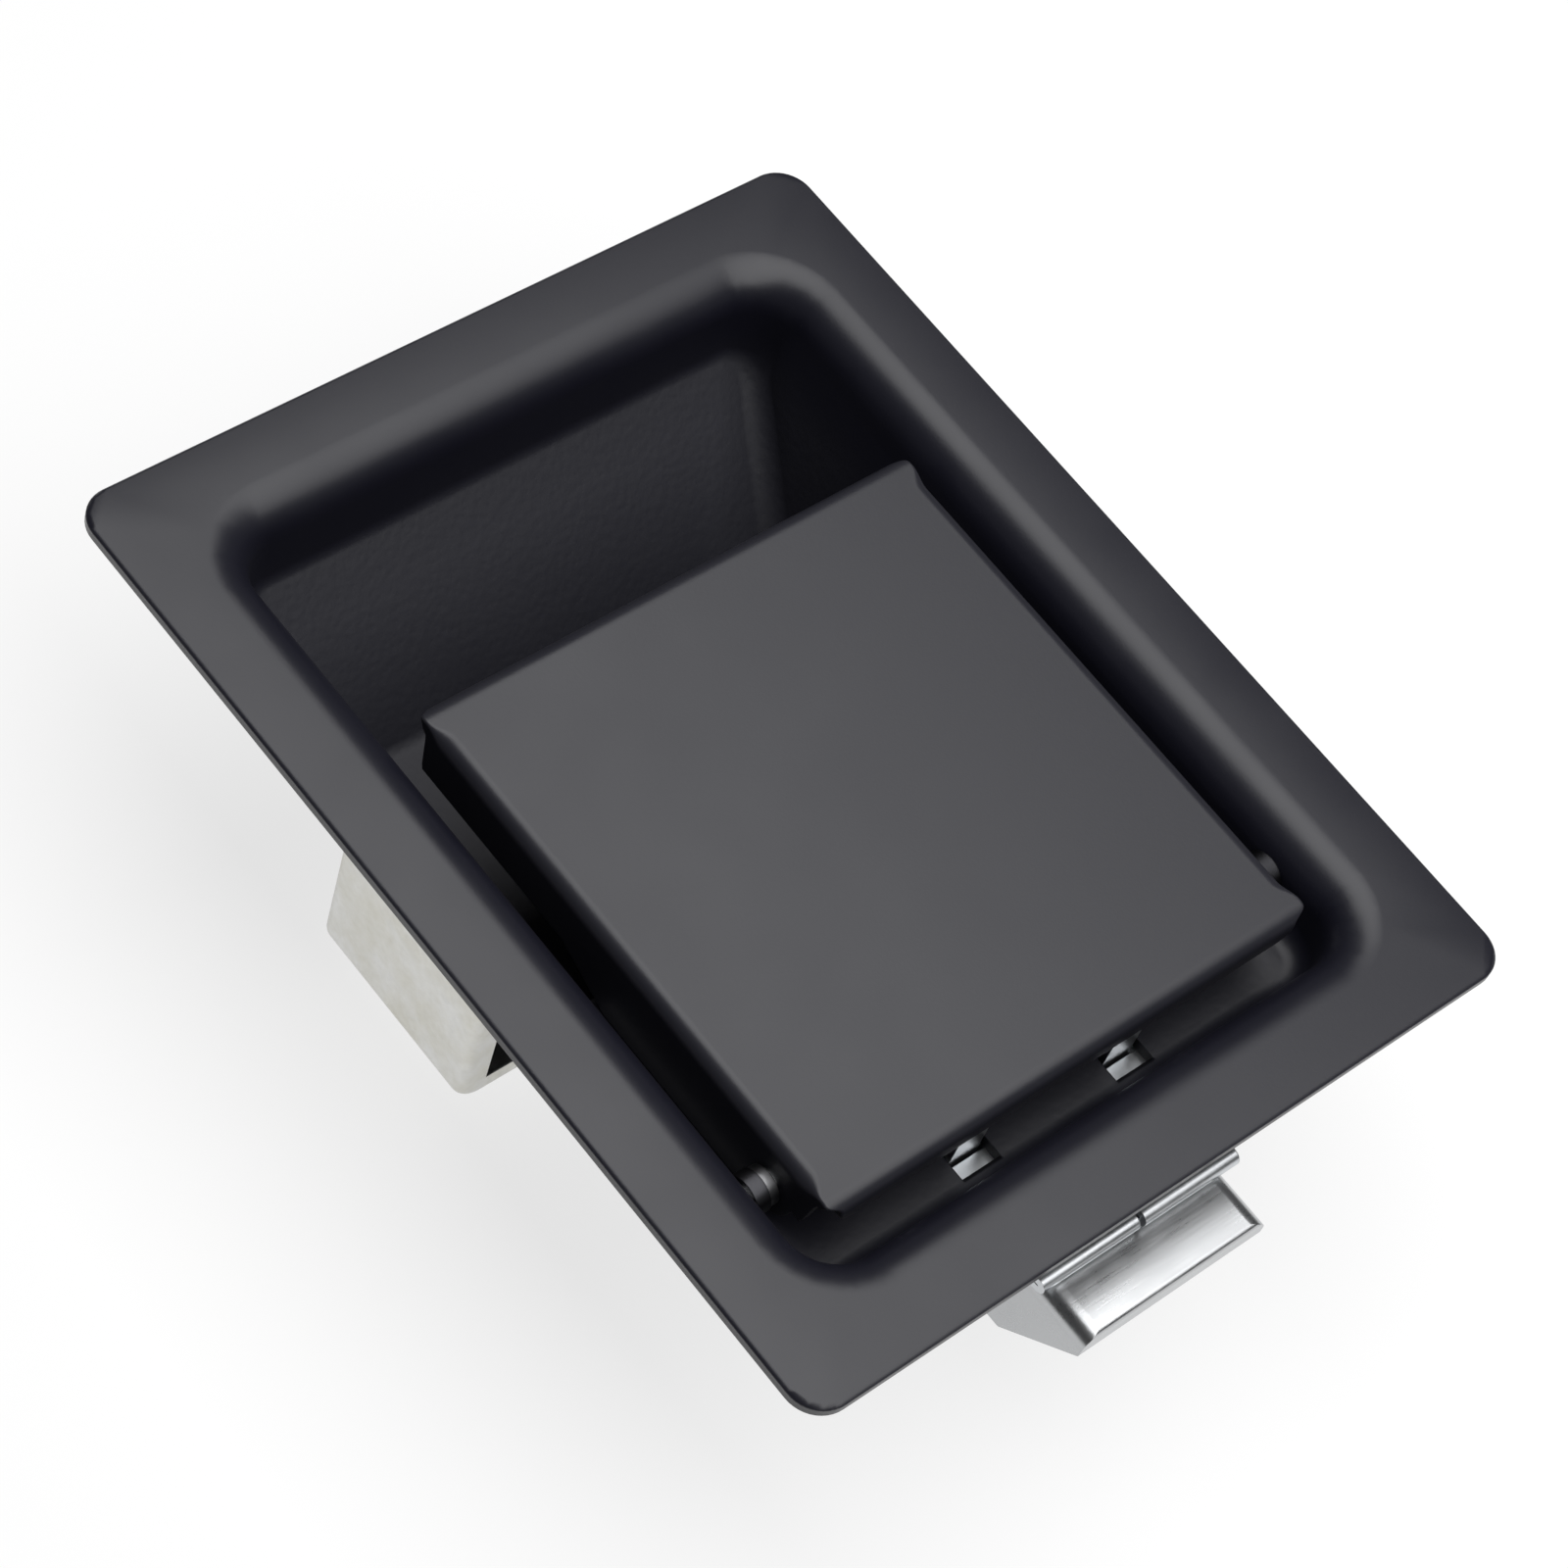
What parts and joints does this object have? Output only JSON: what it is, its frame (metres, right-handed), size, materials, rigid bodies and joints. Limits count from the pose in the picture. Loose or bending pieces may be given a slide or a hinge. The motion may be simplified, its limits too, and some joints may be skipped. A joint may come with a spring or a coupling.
{
  "type": "paddle latch",
  "caption": "Flush paddle latch: a recessed steel pan with a finger pocket, a spring-closed paddle that draws back a slam bolt, and a clamp bracket behind.",
  "frame": {"origin": "middle of the flange's back, on the plane that lies on the door skin", "axes": "+Z out of the door towards the user, +Y from the bolt towards the finger pocket, X along the hinge pin"},
  "size_m": [0.096, 0.1259, 0.0387],
  "materials": {
    "pan_paint": "dark grey powder coat with a fine leathery texture",
    "paddle_paint": "dark grey powder coat with a fine leathery texture",
    "zinc_plate": "bright zinc-plated steel",
    "bolt_sheet": "bright zinc-plated sheet steel, lightly worn",
    "cast_zinc": "bare die-cast zinc, mottled light grey",
    "spring_steel": "plated spring wire and clips"
  },
  "bodies": {
    "housing": {"pan": "pan_paint", "hinge_pin": "zinc_plate", "hinge_spacers": "zinc_plate", "hinge_washers": "zinc_plate", "hinge_clips": "spring_steel", "paddle_spring": "spring_steel", "guide_plate": "zinc_plate", "bolt_guide": "zinc_plate", "guide_rivets": "zinc_plate", "spring_rods": "zinc_plate", "bolt_spring_left": "spring_steel", "bolt_spring_right": "spring_steel", "mounting_bracket": "cast_zinc", "mount_stud": "zinc_plate", "mount_washer": "zinc_plate", "mount_nut": "zinc_plate"},
    "paddle": {"paddle": "paddle_paint", "paddle_legs": "zinc_plate"},
    "bolt": {"bolt_nose": "bolt_sheet", "bolt_slide": "cast_zinc", "bolt_rivets": "zinc_plate"}
  },
  "joints": [
    {"name": "paddle_hinge", "type": "hinge", "parent": "housing", "child": "paddle", "pos_m": [0, -0.0366, -0.0041], "axis": [1, 0, 0], "range_deg": [0, 38], "stiffness_Nm_per_rad": 0.05, "springref_deg": -45.84, "deforming": ["paddle_spring"]},
    {"name": "bolt_travel", "type": "slide", "parent": "housing", "child": "bolt", "axis": [0, 1, 0], "range_m": [0, 0.0098], "stiffness_N_per_m": 250, "springref_m": -0.012, "deforming": ["bolt_spring_left", "bolt_spring_right"]}
  ],
  "couplings": [
    {"joint": "bolt_travel", "follows": "paddle_hinge", "m_per_rad": 0.014475}
  ]
}
